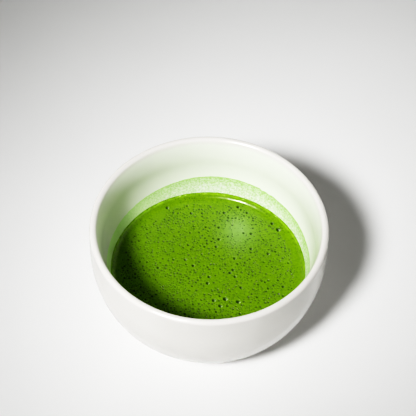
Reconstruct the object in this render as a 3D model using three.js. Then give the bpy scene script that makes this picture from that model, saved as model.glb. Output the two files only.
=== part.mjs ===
// A white ceramic tea bowl holding whisked matcha.
// Millimetres, +Z up. The origin is the centre of the foot, on the plane that the bowl stands on.

import * as THREE from 'three';

// ---- Driving dimensions ----

const rimRadius = 60;
const bowlHeight = 60;
const lipThickness = 3.6;

// Outside: an upright wall, then a belly that is a quarter of an ellipse.
const bellyTopZ = 45;
const bellyReach = 24.6;

// Foot ring, turned out of the same clay.
const footHeight = 4;
const footOuterRadius = 30.5;
const footInnerRadius = 25.5;
const footRecess = 2.8;
const footEdge = 0.8;
const footFillet = 1.6;

// Inside: the lip turns over and flares inwards down to the bowl's waist, where the wall is upright.
// A quarter of an ellipse then runs down to a shallow dished floor.
const lipTurn = THREE.MathUtils.degToRad(160);
const flareRadius = 40;
const floorZ = 10;
const floorDish = 0.6;
const floorReach = 21.7;

// Contents. The foam left on the wall reaches highest on one side and fades to a low band opposite.
const frothTopZ = 21.9;
const frothThickness = 1.8;
const ringThickness = 0.5;
const ringHighestZ = 35.4;
const ringLowestZ = 30.8;
const ringSharpness = 6.5;
const ringHighSide = THREE.MathUtils.degToRad(77);

// Space left between pieces that touch.
const gap = 0.3;

// Facets.
const around = 64;
const alongBelly = 9;
const alongLip = 6;
const alongFlare = 4;
const alongInside = 10;
const alongFillet = 3;
const alongRing = 5;

const quarterTurn = Math.PI / 2;

// ---- Outline helpers ----

// Points on an ellipse from one angle to another. Angle 0 points away from the bowl's axis.
function arc(centreX, centreZ, reachX, reachZ, from, to, steps) {
  const points = [];
  for (let i = 0; i <= steps; i++) {
    const angle = from + ((to - from) * i) / steps;
    points.push(new THREE.Vector2(centreX + reachX * Math.cos(angle), centreZ + reachZ * Math.sin(angle)));
  }
  return points;
}

// Turns an outline of (radius, height) points about the bowl's axis.
function turned(outline) {
  const geometry = new THREE.LatheGeometry(outline, around);
  geometry.rotateX(quarterTurn);
  return geometry;
}

// ---- The bowl's own outline ----

const lipRadius = lipThickness / 2;
const lipCentreRadius = rimRadius - lipRadius;
const lipZ = bowlHeight - lipRadius;
const flareCentreRadius = lipCentreRadius + (lipRadius - flareRadius) * Math.cos(lipTurn);
const waistRadius = flareCentreRadius - flareRadius;
const waistZ = lipZ + (lipRadius - flareRadius) * Math.sin(lipTurn);
const floorRadius = waistRadius - floorReach;

// The inner wall from the waist down to the floor, or a line that clearance keeps inside it.
function insideWall(clearance) {
  const reach = floorReach - clearance;
  return arc(floorRadius, waistZ, reach, waistZ - floorZ - clearance, 0, -quarterTurn, alongInside);
}

// Radius of that line at a height, measured on its facets.
function insideRadius(z, clearance) {
  const wall = insideWall(clearance);
  const below = wall.findIndex((point) => point.y <= z);
  const share = (z - wall[below].y) / (wall[below - 1].y - wall[below].y);
  return wall[below].x + share * (wall[below - 1].x - wall[below].x);
}

function footOutline() {
  const bellyEndRadius = rimRadius - bellyReach;
  return [
    new THREE.Vector2(0, footRecess),
    new THREE.Vector2(footInnerRadius, footRecess),
    new THREE.Vector2(footInnerRadius, footEdge),
    new THREE.Vector2(footInnerRadius + footEdge, 0),
    new THREE.Vector2(footOuterRadius - footEdge, 0),
    new THREE.Vector2(footOuterRadius, footEdge),
    ...arc(
      footOuterRadius + footFillet, footHeight - footFillet, footFillet, footFillet,
      2 * quarterTurn, quarterTurn, alongFillet,
    ),
    new THREE.Vector2(bellyEndRadius, footHeight),
  ];
}

function outsideOutline() {
  const belly = arc(
    rimRadius - bellyReach, bellyTopZ, bellyReach, bellyTopZ - footHeight,
    -quarterTurn, 0, alongBelly,
  );
  return belly.slice(1);
}

function lipOutline() {
  return arc(lipCentreRadius, lipZ, lipRadius, lipRadius, 0, lipTurn, alongLip);
}

function insideOutline() {
  const flare = arc(
    flareCentreRadius, waistZ, flareRadius, flareRadius,
    lipTurn, 2 * quarterTurn, alongFlare,
  );
  return [
    ...flare.slice(1),
    ...insideWall(0).slice(1),
    new THREE.Vector2(0, floorZ - floorDish),
  ];
}

// ---- Pieces ----

function bowlGeometry() {
  return turned([...footOutline(), ...outsideOutline(), ...lipOutline(), ...insideOutline()]);
}

// The liquid fills the bowl's floor up to the underside of the froth.
function teaGeometry() {
  const topZ = frothTopZ - frothThickness - gap;
  const wall = insideWall(gap).filter((point) => point.y < topZ);
  return turned([
    new THREE.Vector2(0, floorZ - floorDish + gap),
    ...wall.reverse(),
    new THREE.Vector2(insideRadius(topZ, gap), topZ),
    new THREE.Vector2(0, topZ),
  ]);
}

function frothGeometry() {
  const bottomZ = frothTopZ - frothThickness;
  return turned([
    new THREE.Vector2(0, bottomZ),
    new THREE.Vector2(insideRadius(bottomZ, gap), bottomZ),
    new THREE.Vector2(insideRadius(frothTopZ, gap), frothTopZ),
    new THREE.Vector2(0, frothTopZ),
  ]);
}

// Height of the foam ring's top edge, at an angle about the axis.
function ringTopZ(angle) {
  const share = (1 + Math.cos(angle - ringHighSide)) / 2;
  return ringLowestZ + (ringHighestZ - ringLowestZ) * share ** ringSharpness;
}

// A closed band is turned first with radius 1 or 2 for its two faces and a share of its height
// from 0 to 1, and each of its points is then moved to its place along the inner wall.
function foamRingGeometry() {
  const face = { inner: 1, outer: 2 };
  const band = [];
  for (let i = 0; i <= alongRing; i++) {
    band.push(new THREE.Vector2(face.outer, i / alongRing));
  }
  for (let i = alongRing; i >= 0; i--) {
    band.push(new THREE.Vector2(face.inner, i / alongRing));
  }
  const geometry = turned([...band, band[0]]);
  const position = geometry.attributes.position;
  const bottomZ = frothTopZ + gap;
  for (let i = 0; i < position.count; i++) {
    const onInnerFace = Math.hypot(position.getX(i), position.getY(i)) < 1.5 * face.inner;
    const angle = Math.atan2(position.getY(i), position.getX(i));
    const z = bottomZ + position.getZ(i) * (ringTopZ(angle) - bottomZ);
    const radius = insideRadius(z, onInnerFace ? gap + ringThickness : gap);
    position.setXYZ(i, radius * Math.cos(angle), radius * Math.sin(angle), z);
  }
  geometry.computeVertexNormals();
  return geometry;
}

// ---- Materials ----

const glaze = new THREE.MeshStandardMaterial({ color: 0xe9e7e1, roughness: 0.42, metalness: 0 });
const liquidTea = new THREE.MeshStandardMaterial({ color: 0x4f8a08, roughness: 0.15, metalness: 0 });
const frothyTea = new THREE.MeshStandardMaterial({ color: 0x68a505, roughness: 0.35, metalness: 0 });
const driedFoam = new THREE.MeshStandardMaterial({ color: 0xb9dba0, roughness: 0.6, metalness: 0 });

// ---- Assembly ----

function piece(name, geometry, material) {
  const mesh = new THREE.Mesh(geometry, material);
  mesh.name = name;
  return mesh;
}

const matchaBowl = new THREE.Group();
matchaBowl.add(piece('bowl', bowlGeometry(), glaze));
matchaBowl.add(piece('tea', teaGeometry(), liquidTea));
matchaBowl.add(piece('froth', frothGeometry(), frothyTea));
matchaBowl.add(piece('foam_ring', foamRingGeometry(), driedFoam));

export default matchaBowl;
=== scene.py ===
"""The looks of a white ceramic tea bowl of whisked matcha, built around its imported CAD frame.

Outlines are lists of (radius, height) about the bowl's axis. Shapes, and the depths stored on their
points, are in millimetres, and shapes become metres when a mesh is made. Materials measure places in
metres, and so do the camera and the lamp.
"""

import math
import random

import bpy
from mathutils import Matrix, Vector, noise
from mathutils.geometry import delaunay_2d_cdt


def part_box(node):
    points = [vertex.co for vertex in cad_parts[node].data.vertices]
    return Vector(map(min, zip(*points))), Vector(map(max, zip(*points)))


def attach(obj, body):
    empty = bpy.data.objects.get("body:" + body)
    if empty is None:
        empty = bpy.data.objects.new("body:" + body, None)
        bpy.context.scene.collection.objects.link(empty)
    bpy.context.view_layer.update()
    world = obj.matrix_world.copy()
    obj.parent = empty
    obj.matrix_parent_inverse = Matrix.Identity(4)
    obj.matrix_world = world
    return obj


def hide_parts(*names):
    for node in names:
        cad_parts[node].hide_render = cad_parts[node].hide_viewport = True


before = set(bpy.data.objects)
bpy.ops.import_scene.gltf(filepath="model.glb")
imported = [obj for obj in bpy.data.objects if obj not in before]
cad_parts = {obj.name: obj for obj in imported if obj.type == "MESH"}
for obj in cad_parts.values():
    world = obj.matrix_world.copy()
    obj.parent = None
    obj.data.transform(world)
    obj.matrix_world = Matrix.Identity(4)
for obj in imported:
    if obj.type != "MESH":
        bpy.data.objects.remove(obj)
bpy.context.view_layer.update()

MM = 0.001
QUARTER = math.pi / 2

# ---- Sizes, in millimetres: those that the frame gives ----

RIM_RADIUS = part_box("bowl")[1].x / MM
BOWL_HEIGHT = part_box("bowl")[1].z / MM
FROTH_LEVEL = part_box("froth")[1].z / MM
FROTH_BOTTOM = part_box("froth")[0].z / MM
RING_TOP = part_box("foam_ring")[1].z / MM

# ---- Sizes, in millimetres: the bowl's section, as the CAD part has it ----

LIP_THICKNESS = 3.6
LIP_TURN = math.radians(160)
FLARE_RADIUS = 40
BELLY_TOP = 45
BELLY_REACH = 24.6
FOOT_HEIGHT = 4
FOOT_OUTER = 30.5
FOOT_INNER = 25.5
FOOT_RECESS = 2.8
FOOT_EDGE = 0.8
FOOT_FILLET = 1.6
FLOOR_HEIGHT = 10
FLOOR_DISH = 0.6
FLOOR_REACH = 21.7

LIP_RADIUS = LIP_THICKNESS / 2
LIP_CENTRE = (RIM_RADIUS - LIP_RADIUS, BOWL_HEIGHT - LIP_RADIUS)
FLARE_CENTRE = (
    LIP_CENTRE[0] + (LIP_RADIUS - FLARE_RADIUS) * math.cos(LIP_TURN),
    LIP_CENTRE[1] + (LIP_RADIUS - FLARE_RADIUS) * math.sin(LIP_TURN),
)
WAIST_HEIGHT = FLARE_CENTRE[1]
FLOOR_RADIUS = FLARE_CENTRE[0] - FLARE_RADIUS - FLOOR_REACH

# ---- Sizes, in millimetres: the tea's surface and the foam left on the wall ----

MENISCUS_RISE = 3.2
MENISCUS_REACH = 1.35
MENISCUS_FOAM = 0.75
RING_LOWEST = 30.4
RING_SHARPNESS = 4.8
RING_HIGH_SIDE = math.radians(80)
RING_THICKNESS = 0.22
FILM_THIN_SIDE = math.radians(165)

# How far from its edge the surface's extra roughness is strongest. It is gone at the edge and at
# twice as far.
ROUGHEST_PLACE = 1.6

# A painted reflection: a pale haze painted on the foam where the lamp's light, mirrored off the inner
# wall, shows on it. Its middle and how far it spreads.
PAINTED_HAZE_PLACE = (15, 27)
PAINTED_HAZE_SIZE = (6, 7.5)

# Bubbles that stand out: (x, y, radius). They were chosen by eye in the photograph, and a scratch
# program carried their places through the fitted camera onto the surface. Their radii are judged.
LARGE_BUBBLES = [
    (9.4, -17.2, 1.35),
    (3.5, -18.2, 1.1),
    (6.9, -21.7, 1.1),
    (16.0, -18.8, 1.25),
    (0.1, -7.5, 1.0),
    (36.6, 28.5, 1.3),
    (13.8, 8.9, 0.95),
    (33.3, 32.4, 0.9),
    (31.2, 12.5, 1.0),
    (22.3, 25.4, 0.95),
    (22.3, 15.5, 0.95),
    (5.5, 21.2, 1.0),
    (5.3, 29.0, 0.9),
    (38.9, -8.5, 0.9),
    (-22.3, 41.1, 0.95),
    (0.8, -3.4, 0.9),
    (13.1, 1.5, 0.9),
    (11.6, -0.4, 0.9),
    (14.2, -2.9, 0.9),
    (17.3, -9.8, 0.9),
    (4.1, 16.2, 0.9),
    (-11.8, 7.2, 0.9),
    (-7.6, 3.5, 0.9),
    (-25.6, 1.6, 0.9),
    (-9.5, 38.1, 0.9),
    (15.3, 43.0, 0.9),
    (20.1, 39.4, 0.9),
    (7.9, 39.0, 0.9),
]

# Smaller bubbles, scattered: (how many, smallest radius, largest radius).
SCATTERED_BUBBLES = [
    (85, 0.58, 0.72),
    (320, 0.44, 0.54),
    (650, 0.28, 0.36),
    (1000, 0.18, 0.26),
]

# Scattered bubbles reach this far from the axis, and each keeps clear of its neighbours by this
# multiple of their radii. Bubbles are looked up in square cells of this width.
SCATTER_REACH = 45
BUBBLE_CLEARANCE = 1.45
CELL_WIDTH = 3

# Bubbles larger than this have a finer mesh and a smaller dark spot for their size.
BIG_BUBBLE = 0.57


# ---- Outlines ----


def arc(centre, reach, start, end, steps):
    """Points on an ellipse from one angle to another. Angle 0 points away from the axis."""
    points = []
    for i in range(steps + 1):
        angle = start + (end - start) * i / steps
        points.append((centre[0] + reach[0] * math.cos(angle), centre[1] + reach[1] * math.sin(angle)))
    return points


def line(start, end, steps):
    """Points from start to end, without the start."""
    return [
        (start[0] + (end[0] - start[0]) * i / steps, start[1] + (end[1] - start[1]) * i / steps)
        for i in range(1, steps + 1)
    ]


def inside_radius(z):
    """Radius of the bowl's inner wall at a height."""
    drop = WAIST_HEIGHT - z
    if drop < 0:
        return FLARE_CENTRE[0] - math.sqrt(FLARE_RADIUS**2 - drop**2)
    return FLOOR_RADIUS + FLOOR_REACH * math.sqrt(1 - (drop / (WAIST_HEIGHT - FLOOR_HEIGHT)) ** 2)


# The froth's edge stays just clear of the wall, which isn't perfectly round.
FROTH_RADIUS = inside_radius(FROTH_LEVEL + MENISCUS_RISE) - 0.13


def bowl_outline():
    """The bowl's section from the middle of its underside, round the wall, to the middle of its floor."""
    inside_reach = (FLOOR_REACH, WAIST_HEIGHT - FLOOR_HEIGHT)
    belly_end = RIM_RADIUS - BELLY_REACH
    edge = (FOOT_EDGE, FOOT_EDGE)
    fillet = (FOOT_FILLET, FOOT_FILLET)
    inner_corner = (FOOT_INNER - FOOT_FILLET, FOOT_RECESS - FOOT_FILLET)
    outline = [(0, FOOT_RECESS)]
    outline += line((0, FOOT_RECESS), (inner_corner[0], FOOT_RECESS), 8)[:-1]
    outline += arc(inner_corner, fillet, QUARTER, 0, 5)
    outline += arc((FOOT_INNER + FOOT_EDGE, FOOT_EDGE), edge, 2 * QUARTER, 3 * QUARTER, 5)
    outline += arc((FOOT_OUTER - FOOT_EDGE, FOOT_EDGE), edge, 3 * QUARTER, 4 * QUARTER, 5)
    outline += arc((FOOT_OUTER + FOOT_FILLET, FOOT_HEIGHT - FOOT_FILLET), fillet, 2 * QUARTER, QUARTER, 5)
    outline += line((FOOT_OUTER + FOOT_FILLET, FOOT_HEIGHT), (belly_end, FOOT_HEIGHT), 3)[:-1]
    outline += arc((belly_end, BELLY_TOP), (BELLY_REACH, BELLY_TOP - FOOT_HEIGHT), -QUARTER, 0, 40)
    outline += line((RIM_RADIUS, BELLY_TOP), (RIM_RADIUS, LIP_CENTRE[1]), 8)[:-1]
    outline += arc(LIP_CENTRE, (LIP_RADIUS, LIP_RADIUS), 0, LIP_TURN, 16)
    outline += arc(FLARE_CENTRE, (FLARE_RADIUS, FLARE_RADIUS), LIP_TURN, 2 * QUARTER, 16)[1:]
    outline += arc((FLOOR_RADIUS, WAIST_HEIGHT), inside_reach, 0, -QUARTER, 40)[1:]
    outline += line((FLOOR_RADIUS, FLOOR_HEIGHT), (0, FLOOR_HEIGHT - FLOOR_DISH), 10)
    return outline


def tea_outline():
    """The liquid under the froth: it wets the floor and the wall."""
    top = FROTH_BOTTOM
    steps = 24
    outline = [(0, FLOOR_HEIGHT - FLOOR_DISH)]
    for i in range(1, steps + 1):
        z = FLOOR_HEIGHT + (top - FLOOR_HEIGHT) * (i / steps) ** 2
        outline.append((inside_radius(z), z))
    outline += line(outline[-1], (0, top), 8)
    return outline


def ring_top(azimuth):
    """Height of the top edge of the foam left on the wall."""
    share = (1 + math.cos(azimuth - RING_HIGH_SIDE)) / 2
    return RING_LOWEST + (RING_TOP - RING_LOWEST) * share**RING_SHARPNESS


# ---- Meshes ----


def new_piece(name, points, faces, material):
    """A smooth-shaded mesh object from points in millimetres."""
    mesh = bpy.data.meshes.new(name)
    mesh.from_pydata([(x * MM, y * MM, z * MM) for x, y, z in points], [], faces)
    mesh.validate()
    mesh.materials.append(material)
    mesh.polygons.foreach_set("use_smooth", [True] * len(mesh.polygons))
    piece = bpy.data.objects.new(name, mesh)
    bpy.context.scene.collection.objects.link(piece)
    return piece


def turned_mesh(outline, around, shape=lambda x, y, z: (x, y, z)):
    """Points and faces of an outline turned about the axis, from one pole to the other."""
    points = [shape(0, 0, outline[0][1])]
    for radius, z in outline[1:-1]:
        for i in range(around):
            angle = 2 * math.pi * i / around
            points.append(shape(radius * math.cos(angle), radius * math.sin(angle), z))
    points.append(shape(0, 0, outline[-1][1]))
    rows = len(outline) - 2
    last = len(points) - 1
    faces = []
    for i in range(around):
        j = (i + 1) % around
        faces.append((0, 1 + j, 1 + i))
        for row in range(rows - 1):
            low = 1 + row * around
            high = low + around
            faces.append((low + i, low + j, high + j, high + i))
        low = 1 + (rows - 1) * around
        faces.append((low + i, low + j, last))
    return points, faces


def hand_finished(x, y, z):
    """Shrinks the turned bowl by up to 0.2 mm here and there, so that it isn't perfect."""
    if x == 0 and y == 0:
        return x, y, z
    slow = noise.noise(Vector((x, y, z)) / 35)
    fine = noise.noise(Vector((x, y, z * 4)) / 16)
    shrink = 1 - 0.0009 * (1 + slow) - 0.0004 * (1 + fine)
    return x * shrink, y * shrink, z


def on_inside(x, y, z):
    """1 on the bowl's inner wall and floor, and 0 elsewhere."""
    if z < FLOOR_HEIGHT - 2 * FLOOR_DISH:
        return 0
    wall = inside_radius(max(z, FLOOR_HEIGHT))
    return 1 if math.hypot(x, y) < wall + LIP_RADIUS / 4 else 0


# ---- The froth's surface ----


def meniscus(x, y):
    """How far the surface climbs as it nears the wall."""
    radius = math.hypot(x, y)
    azimuth = math.atan2(y, x)
    around = Vector((math.cos(azimuth), math.sin(azimuth), 0.5))
    uneven = 1 + 0.03 * noise.noise(around * 6)
    return MENISCUS_RISE * uneven * math.exp(-(FROTH_RADIUS - radius) / MENISCUS_REACH)


def edge_foam(x, y):
    """How much of the paler foam clings to the edge of the surface at a place."""
    away = FROTH_RADIUS - math.hypot(x, y)
    width = MENISCUS_FOAM * (1 + 0.6 * noise.noise(Vector((x, y, 1)) / 2.5))
    return max(0, min(1, (width - away) / (MENISCUS_FOAM / 2)))


def swell(x, y):
    """The soft unevenness of whisked foam, which is rougher where it climbs the wall."""
    away = FROTH_RADIUS - math.hypot(x, y)
    near_wall = max(0, 1 - abs(away - ROUGHEST_PLACE) / ROUGHEST_PLACE)
    broad = 0.09 * noise.noise(Vector((x, y, 0)) / 9)
    fine = 0.035 * noise.noise(Vector((x, y, 5)) / 2.6)
    rough = 0.13 * noise.noise(Vector((x, y, 7)) / 1.7)
    return broad + fine + rough * near_wall


def painted_haze(x, y):
    """How strong the painted reflection, a pale haze painted on the foam, is at a place."""
    across = (x - PAINTED_HAZE_PLACE[0]) / PAINTED_HAZE_SIZE[0]
    along = (y - PAINTED_HAZE_PLACE[1]) / PAINTED_HAZE_SIZE[1]
    return math.exp(-(across**2 + along**2) / 2)


def scatter_bubbles(generator):
    """Every bubble as (x, y, radius), large ones first, with none on top of another."""
    bubbles = list(LARGE_BUBBLES)
    cells = {}

    def cell(x, y):
        return int(x // CELL_WIDTH), int(y // CELL_WIDTH)

    def near(x, y):
        column, row = cell(x, y)
        return [b for i in (-1, 0, 1) for j in (-1, 0, 1) for b in cells.get((column + i, row + j), [])]

    def crowded(x, y, radius):
        return any(
            math.hypot(x - other_x, y - other_y) < BUBBLE_CLEARANCE * (radius + other_radius)
            for other_x, other_y, other_radius in near(x, y)
        )

    for x, y, radius in bubbles:
        cells.setdefault(cell(x, y), []).append((x, y, radius))
    for count, smallest, largest in SCATTERED_BUBBLES:
        placed = 0
        while placed < count:
            angle = generator.uniform(0, 2 * math.pi)
            away = SCATTER_REACH * math.sqrt(generator.random())
            x, y = away * math.cos(angle), away * math.sin(angle)
            crowd = noise.noise(Vector((x, y, 9)) / 11) + 0.6 * noise.noise(Vector((x, y, 2)) / 4)
            # Fewer bubbles are scattered under the painted reflection, where the haze makes the foam look
            # smooth.
            if generator.random() > (0.65 + 0.6 * crowd) * (1 - 0.6 * painted_haze(x, y)):
                continue
            radius = generator.uniform(smallest, largest)
            if crowded(x, y, radius):
                continue
            bubbles.append((x, y, radius))
            cells.setdefault(cell(x, y), []).append((x, y, radius))
            placed += 1
    return bubbles


def pit(share):
    """Height in a bubble's open pit, in radii, at a share of its radius from its middle."""
    if share < 1:
        return -0.85 * math.sqrt(1 - share**2)
    return 0.10 * math.exp(-((share - 1.12) ** 2) / 0.02)


def tea_and_painted_shade(across, up, big):
    """How dark a place in a pit is, given in radii from its middle: the clear tea showing, and in big
    pits painted shade too, as the dark spot is moved towards the lamp's side, whose wall lies in shade.
    """
    if not big:
        return max(0, min(1, (1.25 - math.hypot(across, up)) / 0.4))
    return max(0, min(1, (1.05 - math.hypot(across + 0.15, up + 0.05)) / 0.3))


def painted_glint(across, up, shown):
    """How strong the painted highlight is at a place in a pit, given in radii from its middle, if it
    shows at all: a pale glint painted on the pit's side away from the lamp.
    """
    return shown * max(0, min(1, (0.55 - math.hypot(across - 0.5, up + 0.1)) / 0.2))


def bubble_points(bubbles):
    """Points that carry each pit: (x, y, height, dark tea with painted shade, painted highlight)."""
    points = []
    for x, y, radius in bubbles:
        big = radius > BIG_BUBBLE
        # Only the larger bubbles carry a painted highlight.
        shown = max(0, min(1, (radius - 0.8) / 0.25))
        around = 20 if big else (10 if radius > 0.28 else 7)
        shares = (0.25, 0.45, 0.65, 0.82, 0.94, 1.0, 1.12, 1.3) if big else (0.55, 0.9, 1.0, 1.25)
        points.append((x, y, radius * pit(0), tea_and_painted_shade(0, 0, big), 0))
        for number, share in enumerate(shares):
            for i in range(around):
                angle = 2 * math.pi * (i + 0.5 * (number % 2)) / around
                across, up = share * math.cos(angle), share * math.sin(angle)
                place = (x + radius * across, y + radius * up, radius * pit(share))
                points.append((*place, tea_and_painted_shade(across, up, big), painted_glint(across, up, shown)))
    return points


def surface_points(bubbles, generator):
    """Points over the whole froth: pits, rings up the meniscus, and a jittered grid between them."""
    edge = FROTH_RADIUS
    points = bubble_points(bubbles)
    for back in (0, 0.25, 0.55, 0.9, 1.3, 1.8, 2.4, 3.1):
        radius = edge - back
        around = 360 if back == 0 else 300
        for i in range(around):
            angle = 2 * math.pi * i / around
            points.append((radius * math.cos(angle), radius * math.sin(angle), 0, 0, 0))
    spacing = 1.1
    steps = int(edge // spacing)
    for i in range(-steps, steps + 1):
        for j in range(-steps, steps + 1):
            x = (i + generator.uniform(-0.3, 0.3)) * spacing
            y = (j + generator.uniform(-0.3, 0.3)) * spacing
            if math.hypot(x, y) > edge - 3.8:
                continue
            if any(math.hypot(x - b[0], y - b[1]) < 1.5 * b[2] for b in bubbles):
                continue
            points.append((x, y, 0, 0, 0))
    return points


def froth_mesh():
    """The froth's points, its faces above and below, and where dark tea with painted shade and painted
    highlights show.
    """
    generator = random.Random(7)
    bubbles = scatter_bubbles(generator)
    points = surface_points(bubbles, generator)
    flat = [Vector(point[:2]) for point in points]
    kept, _, triangles, sources, _, _ = delaunay_2d_cdt(flat, [], [], 0, 1e-5)
    top = []
    clear = []
    pale = []
    for place, source in zip(kept, sources):
        x, y = place
        height, shade_share, glint_share = points[source[0]][2:]
        top.append((x, y, FROTH_LEVEL + height + meniscus(x, y) + swell(x, y)))
        clear.append(shade_share)
        pale.append(glint_share)
    above = [tuple(t) for t in triangles]
    rim = [i for i, (x, y, _) in enumerate(top) if math.hypot(x, y) > FROTH_RADIUS - 0.01]
    rim.sort(key=lambda i: math.atan2(top[i][1], top[i][0]))
    bottom_radius = inside_radius(FROTH_BOTTOM)
    first = len(top)
    for i in rim:
        angle = math.atan2(top[i][1], top[i][0])
        top.append((bottom_radius * math.cos(angle), bottom_radius * math.sin(angle), FROTH_BOTTOM))
    top.append((0, 0, FROTH_BOTTOM))
    clear += [0] * (len(rim) + 1)
    pale += [0] * (len(rim) + 1)
    below = []
    for i in range(len(rim)):
        j = (i + 1) % len(rim)
        below.append((rim[i], first + i, first + j, rim[j]))
        below.append((first + i, len(top) - 1, first + j))
    return top, above, below, clear, pale


# ---- The foam left on the wall ----


def foam_film_mesh():
    """A thin closed band on the inner wall: its points and faces, how far each point is below the
    band's uneven top edge, and how thin the foam is there."""
    around = 420
    rows = 18
    points = []
    depths = []
    thinness = []
    low = FROTH_LEVEL + MENISCUS_RISE - 0.6
    for side in (0, 1):
        for row in range(rows + 1):
            share = row / rows
            for i in range(around):
                azimuth = 2 * math.pi * i / around
                place = Vector((math.cos(azimuth) * 20, math.sin(azimuth) * 20, 0))
                ragged = 0.22 * noise.noise(place) + 0.12 * noise.noise(place * 2.7)
                top = min(ring_top(azimuth) + ragged, RING_TOP)
                z = low + (top - low) * share
                skin = RING_THICKNESS * (0.85 + 0.3 * noise.noise(Vector((*place.xy, z)) * 0.8))
                thin = math.sqrt(max(0, 1 - share**8))
                thin *= min(1, 0.3 + (z - low) / 1.2)
                radius = inside_radius(z) + 0.03 - (skin * thin if side else 0)
                points.append((radius * math.cos(azimuth), radius * math.sin(azimuth), z))
                depths.append(top - z)
                thinness.append(((1 + math.cos(azimuth - FILM_THIN_SIDE)) / 2) ** 8)
    faces = []
    per_side = (rows + 1) * around
    for i in range(around):
        j = (i + 1) % around
        for row in range(rows):
            a = row * around
            b = a + around
            faces.append((a + i, a + j, b + j, b + i))
            faces.append((per_side + a + j, per_side + a + i, per_side + b + i, per_side + b + j))
        faces.append((per_side + i, per_side + j, j, i))
        top = rows * around
        faces.append((top + i, top + j, per_side + top + j, per_side + top + i))
    return points, faces, depths, thinness


# ---- Materials ----

# Heights in metres: where the glaze on the lip begins to turn warm and where it is warmest, and where
# the bare clay of the foot begins and where all of it is bare.
LIP_TINT = (0.0568, 0.0592)
BARE_FOOT = (0.0014, 0.0011)


def new_material(name):
    """An empty node material with a Principled shader: (material, nodes, links, shader)."""
    material = bpy.data.materials.new(name)
    material.use_nodes = True
    nodes, links = material.node_tree.nodes, material.node_tree.links
    nodes.clear()
    shader = nodes.new("ShaderNodeBsdfPrincipled")
    output = nodes.new("ShaderNodeOutputMaterial")
    links.new(shader.outputs["BSDF"], output.inputs["Surface"])
    return material, nodes, links, shader


def noise_value(nodes, links, size, detail=2, roughness=0.5):
    """A noise from 0 to 1 whose features are about size metres across."""
    texture = nodes.new("ShaderNodeTexNoise")
    texture.inputs["Scale"].default_value = 1 / size
    texture.inputs["Detail"].default_value = detail
    texture.inputs["Roughness"].default_value = roughness
    place = nodes.new("ShaderNodeTexCoord")
    links.new(place.outputs["Object"], texture.inputs["Vector"])
    return texture.outputs["Fac"]


def remap(nodes, links, value, low, high, to_low=0.0, to_high=1.0):
    """value from low..high to to_low..to_high, held at the ends."""
    node = nodes.new("ShaderNodeMapRange")
    node.inputs["From Min"].default_value = low
    node.inputs["From Max"].default_value = high
    node.inputs["To Min"].default_value = to_low
    node.inputs["To Max"].default_value = to_high
    links.new(value, node.inputs["Value"])
    return node.outputs["Result"]


def mix_colors(nodes, links, share, first, second):
    """first where share is 0 and second where it is 1. Each is an RGB triple or a socket."""
    node = nodes.new("ShaderNodeMix")
    node.data_type = "RGBA"
    if isinstance(share, float):
        node.inputs["Factor"].default_value = share
    else:
        links.new(share, node.inputs["Factor"])
    for socket, color in ((node.inputs[6], first), (node.inputs[7], second)):
        if isinstance(color, tuple):
            socket.default_value = (*color, 1)
        else:
            links.new(color, socket)
    return node.outputs[2]


def add_bump(nodes, links, shader, height, strength, distance):
    """Fine relief on the shader's normal."""
    bump = nodes.new("ShaderNodeBump")
    bump.inputs["Strength"].default_value = strength
    bump.inputs["Distance"].default_value = distance
    links.new(height, bump.inputs["Height"])
    links.new(bump.outputs["Normal"], shader.inputs["Normal"])


def height_value(nodes, links):
    """Height above the table, in metres."""
    place = nodes.new("ShaderNodeTexCoord")
    split = nodes.new("ShaderNodeSeparateXYZ")
    links.new(place.outputs["Object"], split.inputs[0])
    return split.outputs["Z"]


def glaze_material():
    """Soft white glaze, with bare clay under the foot. Inside, it is painted lighter and greener: painted
    bounce light from the froth and the lit wall.
    """
    material, nodes, links, shader = new_material("white_glaze")
    height = height_value(nodes, links)
    clouds = remap(nodes, links, noise_value(nodes, links, 0.03), 0.3, 0.7)
    white = mix_colors(nodes, links, clouds, (0.735, 0.720, 0.68), (0.755, 0.740, 0.70))
    # The inside is painted lighter and greener than the outside: painted bounce light from the green
    # froth and the lit wall.
    body = mix_colors(nodes, links, stored_value(nodes, "inside"), white, (0.795, 0.822, 0.735))
    lip = remap(nodes, links, height, *LIP_TINT)
    glazed = mix_colors(nodes, links, lip, body, (0.745, 0.722, 0.69))
    grain = remap(nodes, links, noise_value(nodes, links, 0.0007, 3), 0.35, 0.65)
    clay = mix_colors(nodes, links, grain, (0.60, 0.53, 0.44), (0.70, 0.64, 0.55))
    bare = remap(nodes, links, height, *BARE_FOOT)
    color = mix_colors(nodes, links, bare, glazed, clay)
    links.new(color, shader.inputs["Base Color"])
    polish = remap(nodes, links, noise_value(nodes, links, 0.012), 0.3, 0.7, 0.18, 0.24)
    rough = nodes.new("ShaderNodeMix")
    links.new(bare, rough.inputs["Factor"])
    links.new(polish, rough.inputs[2])
    rough.inputs[3].default_value = 0.8
    links.new(rough.outputs[0], shader.inputs["Roughness"])
    add_bump(nodes, links, shader, noise_value(nodes, links, 0.006, 2), 0.03, 0.0003)
    return material


def stored_value(nodes, name):
    """The number kept for each point under a name."""
    node = nodes.new("ShaderNodeAttribute")
    node.attribute_name = name
    return node.outputs["Fac"]


def multiply(nodes, links, first, second):
    """The product of two values. Each is a number or a socket."""
    node = nodes.new("ShaderNodeMath")
    node.operation = "MULTIPLY"
    for socket, value in zip(node.inputs, (first, second)):
        if isinstance(value, float):
            socket.default_value = value
        else:
            links.new(value, socket)
    return node.outputs[0]


def tiny_bubbles(nodes, links, spacing):
    """1 in the middle of each tiny bubble of the foam and 0 between them, thinning out in places."""
    cells = nodes.new("ShaderNodeTexVoronoi")
    cells.inputs["Scale"].default_value = 1 / spacing
    place = nodes.new("ShaderNodeTexCoord")
    links.new(place.outputs["Object"], cells.inputs["Vector"])
    dots = remap(nodes, links, cells.outputs["Distance"], 0.34, 0.14)
    crowd = remap(nodes, links, noise_value(nodes, links, 0.009, 2), 0.35, 0.6, 0.25, 1.0)
    return multiply(nodes, links, dots, crowd)


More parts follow.
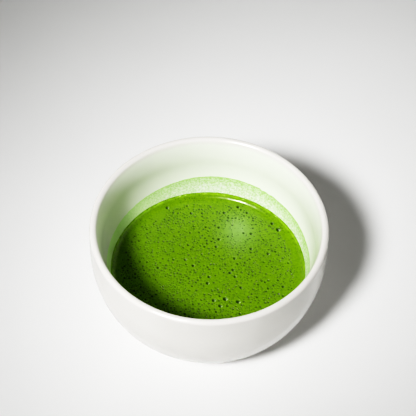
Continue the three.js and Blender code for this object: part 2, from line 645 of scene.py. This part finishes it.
def froth_material():
    """Whisked matcha: bright green foam that darkens to clear tea, with painted shade, in the pits of its
    bubbles, whose larger pits carry painted highlights.
    """
    material, nodes, links, shader = new_material("matcha_froth")
    drift = remap(nodes, links, noise_value(nodes, links, 0.012, 3), 0.3, 0.7)
    green = mix_colors(nodes, links, drift, (0.107, 0.210, 0.001), (0.134, 0.252, 0.0012))
    speck = remap(nodes, links, noise_value(nodes, links, 0.0011, 3, 0.7), 0.3, 0.7)
    grainy = mix_colors(nodes, links, speck, (0.067, 0.138, 0.001), (0.180, 0.322, 0.0015))
    foam = mix_colors(nodes, links, 0.55, green, grainy)
    # A paler patch of foam is painted where the lamp's reflection off the wall shows: a painted
    # reflection.
    with_painted_haze = mix_colors(nodes, links, stored_value(nodes, "painted_haze"), foam, (0.180, 0.31, 0.075))
    dots = multiply(nodes, links, tiny_bubbles(nodes, links, 0.0012), 0.85)
    dotted = mix_colors(nodes, links, dots, with_painted_haze, (0.03, 0.07, 0.001))
    # Dark clear tea in the pits, with painted shade on the pit wall nearer the lamp.
    opened = mix_colors(nodes, links, stored_value(nodes, "tea_and_painted_shade"), dotted, (0.02, 0.05, 0.001))
    edged = mix_colors(nodes, links, stored_value(nodes, "edge_foam"), opened, (0.21, 0.39, 0.015))
    # Pale glints painted on the side of the larger pits away from the lamp are painted highlights.
    color = mix_colors(nodes, links, stored_value(nodes, "painted_glint"), edged, (0.30, 0.42, 0.16))
    links.new(color, shader.inputs["Base Color"])
    shader.inputs["Roughness"].default_value = 0.24
    shader.inputs["IOR"].default_value = 1.34
    shader.inputs["Specular IOR Level"].default_value = 0.75
    shader.inputs["Specular Tint"].default_value = (1, 1, 0.9, 1)
    add_bump(nodes, links, shader, noise_value(nodes, links, 0.0009, 2), 0.2, 0.00006)
    return material


def tea_material():
    """The clear, dark tea under the froth."""
    material, nodes, links, shader = new_material("matcha_liquid")
    drift = remap(nodes, links, noise_value(nodes, links, 0.015, 3), 0.3, 0.7)
    color = mix_colors(nodes, links, drift, (0.04, 0.14, 0.001), (0.06, 0.19, 0.001))
    links.new(color, shader.inputs["Base Color"])
    shader.inputs["Roughness"].default_value = 0.15
    shader.inputs["IOR"].default_value = 1.34
    return material


def film_material():
    """Foam drying on the wall: mottled pale green, whiter by the tea and green along the top edge."""
    material, nodes, links, shader = new_material("foam_residue")
    speck = remap(nodes, links, noise_value(nodes, links, 0.0009, 3, 0.6), 0.38, 0.62)
    green = mix_colors(nodes, links, speck, (0.29, 0.53, 0.14), (0.56, 0.71, 0.42))
    pale = mix_colors(nodes, links, speck, (0.44, 0.60, 0.31), (0.71, 0.73, 0.67))
    below = stored_value(nodes, "below_top")
    patch = remap(nodes, links, noise_value(nodes, links, 0.0035, 2), 0.35, 0.6, 0.55, 1.0)
    wash = multiply(nodes, links, patch, remap(nodes, links, below, 1.5, 6.5))
    washed = mix_colors(nodes, links, wash, green, pale)
    edge = remap(nodes, links, below, 1.35, 0.85, 0.0, 0.8)
    edged = mix_colors(nodes, links, edge, washed, (0.34, 0.56, 0.17))
    thin = multiply(nodes, links, stored_value(nodes, "thinness"), 0.85)
    color = mix_colors(nodes, links, thin, edged, (0.60, 0.81, 0.38))
    links.new(color, shader.inputs["Base Color"])
    shader.inputs["Roughness"].default_value = 0.4
    add_bump(nodes, links, shader, noise_value(nodes, links, 0.0008, 2), 0.15, 0.0001)
    return material


def floor_material():
    """A plain pale table top."""
    material, nodes, links, shader = new_material("pale_table")
    soft = remap(nodes, links, noise_value(nodes, links, 0.08), 0.3, 0.7)
    color = mix_colors(nodes, links, soft, (0.79, 0.79, 0.79), (0.81, 0.81, 0.81))
    links.new(color, shader.inputs["Base Color"])
    shader.inputs["Roughness"].default_value = 0.7
    shader.inputs["Specular IOR Level"].default_value = 0.2
    return material


# ---- Camera, light and floor ----

# The camera stands off a point on the bowl's axis and looks a little past it. The lens is in
# millimetres.
PIVOT_HEIGHT = 0.050
CAMERA_DISTANCE = 0.9076
CAMERA_ELEVATION = math.radians(52.17)
CAMERA_AIM = Vector((-0.00083, 0.01932, 0.050))
CAMERA_ROLL = math.radians(1.44)
CAMERA_LENS = 155.8

# The lamp's direction from the bowl, with its height as the unit.
LAMP_SLOPE = Vector((-0.470, -0.670, 1))
LAMP_DISTANCE = 1.34
LAMP_WIDTH = 0.33
LAMP_AIM = Vector((0.018, 0.038, 0))
LAMP_SPREAD = math.radians(17.6)
LAMP_POWER = 0.356

# The room's light at the horizon and overhead, between which it fades up to this height, as a share of
# straight up. The balance makes it stronger behind the bowl and to the right than in front.
HORIZON_LIGHT = 0.466
OVERHEAD_LIGHT = 0.0143
FADE_HEIGHT = 0.85
ROOM_BALANCE = (0.25, 0.65, 0)
ROOM_TINT = (1, 1, 0.94)

# How the camera turns light into the picture's brightness:
# ceiling * light^contrast / (light^contrast + softness).
RESPONSE_CONTRAST = 1.7
RESPONSE_CEILING = 1.22
RESPONSE_SOFTNESS = 0.226
RESPONSE_STEPS = (0.01, 0.025, 0.05, 0.09, 0.15, 0.23, 0.34, 0.48, 0.64, 0.76, 0.87)


def add_camera():
    """A long lens that looks down on the bowl from the front."""
    data = bpy.data.cameras.new("camera")
    data.lens = CAMERA_LENS
    camera = bpy.data.objects.new("camera", data)
    bpy.context.scene.collection.objects.link(camera)
    side = Vector((0, -math.cos(CAMERA_ELEVATION), math.sin(CAMERA_ELEVATION)))
    camera.location = Vector((0, 0, PIVOT_HEIGHT)) + side * CAMERA_DISTANCE
    look = (CAMERA_AIM - camera.location).to_track_quat("-Z", "Y").to_matrix()
    camera.rotation_euler = (look @ Matrix.Rotation(CAMERA_ROLL, 3, "Z")).to_euler()
    bpy.context.scene.camera = camera


def set_camera_response():
    """Develops the picture with deeper shadows and softer whites than the plain numbers would give."""
    view = bpy.context.scene.view_settings
    view.view_transform = "Standard"
    view.use_curve_mapping = True
    curve = view.curve_mapping.curves[3]
    for light in RESPONSE_STEPS:
        raised = light**RESPONSE_CONTRAST
        curve.points.new(light, RESPONSE_CEILING * raised / (raised + RESPONSE_SOFTNESS))
    curve.points[-1].location = (1, 1)
    view.curve_mapping.update()


def add_lamp():
    """One soft round lamp, in front of the bowl and to its left."""
    data = bpy.data.lights.new("lamp", "AREA")
    data.shape = "DISK"
    data.size = LAMP_WIDTH
    data.spread = LAMP_SPREAD
    data.energy = LAMP_POWER
    lamp = bpy.data.objects.new("lamp", data)
    bpy.context.scene.collection.objects.link(lamp)
    lamp.location = LAMP_SLOPE.normalized() * LAMP_DISTANCE
    lamp.rotation_euler = (LAMP_AIM - lamp.location).to_track_quat("-Z", "Y").to_euler()


def add_room():
    """Pale walls all round under a dark ceiling, brightest behind the bowl."""
    world = bpy.data.worlds.new("room")
    world.use_nodes = True
    nodes, links = world.node_tree.nodes, world.node_tree.links
    direction = nodes.new("ShaderNodeTexCoord")
    split = nodes.new("ShaderNodeSeparateXYZ")
    links.new(direction.outputs["Generated"], split.inputs[0])
    fade = nodes.new("ShaderNodeMapRange")
    fade.interpolation_type = "SMOOTHSTEP"
    fade.inputs["From Max"].default_value = FADE_HEIGHT
    fade.inputs["To Min"].default_value = HORIZON_LIGHT
    fade.inputs["To Max"].default_value = OVERHEAD_LIGHT
    links.new(split.outputs["Z"], fade.inputs["Value"])
    across = nodes.new("ShaderNodeVectorMath")
    across.operation = "DOT_PRODUCT"
    across.inputs[1].default_value = ROOM_BALANCE
    links.new(direction.outputs["Generated"], across.inputs[0])
    balance = nodes.new("ShaderNodeMath")
    balance.operation = "ADD"
    balance.inputs[0].default_value = 1
    links.new(across.outputs["Value"], balance.inputs[1])
    squared = multiply(nodes, links, balance.outputs[0], balance.outputs[0])
    strength = multiply(nodes, links, squared, fade.outputs["Result"])
    background = nodes["Background"]
    background.inputs["Color"].default_value = (*ROOM_TINT, 1)
    links.new(strength, background.inputs["Strength"])
    bpy.context.scene.world = world


def add_floor():
    """A plain square of table under the bowl."""
    half = 3000
    corners = [(-half, -half, 0), (half, -half, 0), (half, half, 0), (-half, half, 0)]
    floor = new_piece("table_top", corners, [(0, 1, 2, 3)], floor_material())


# ---- Assembly ----


def store(piece, name, values):
    """Keeps one number for each of a piece's points, for its material to read."""
    piece.data.attributes.new(name, "FLOAT", "POINT").data.foreach_set("value", values)


def settle(piece, node):
    """piece stands for a CAD node: it hangs under the root body, and the CAD part is hidden."""
    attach(piece, "root")
    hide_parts(node)


def build_bowl():
    """The glazed bowl: one turned solid with its foot ring."""
    points, faces = turned_mesh(bowl_outline(), 256, hand_finished)
    piece = new_piece("bowl_body", points, faces, glaze_material())
    # Marks the inner wall and floor, where the glaze carries its painted bounce light.
    store(piece, "inside", [on_inside(*point) for point in points])
    settle(piece, "bowl")


def build_tea():
    """The liquid that fills the bowl's floor up to the froth."""
    points, faces = turned_mesh(tea_outline(), 128)
    settle(new_piece("tea_liquid", points, faces, tea_material()), "tea")


def build_froth():
    """The whisked froth, flat-shaded underneath where it lies on the tea."""
    points, above, below, clear, pale = froth_mesh()
    piece = new_piece("froth_layer", points, above + below, froth_material())
    for face in piece.data.polygons[len(above):]:
        face.use_smooth = False
    # Dark clear tea with painted shade in the pits.
    store(piece, "tea_and_painted_shade", clear)
    # The painted highlights in the larger pits.
    store(piece, "painted_glint", pale)
    # Where the painted reflection, a pale haze, lies on the foam.
    store(piece, "painted_haze", [painted_haze(x, y) for x, y, _ in points])
    store(piece, "edge_foam", [edge_foam(x, y) for x, y, _ in points])
    settle(piece, "froth")


def build_foam_film():
    """The foam left on the wall above the tea."""
    points, faces, depths, thinness = foam_film_mesh()
    piece = new_piece("foam_film", points, faces, film_material())
    store(piece, "below_top", depths)
    store(piece, "thinness", thinness)
    settle(piece, "foam_ring")


add_camera()
add_lamp()
add_room()
add_floor()
set_camera_response()
build_bowl()
build_tea()
build_froth()
build_foam_film()
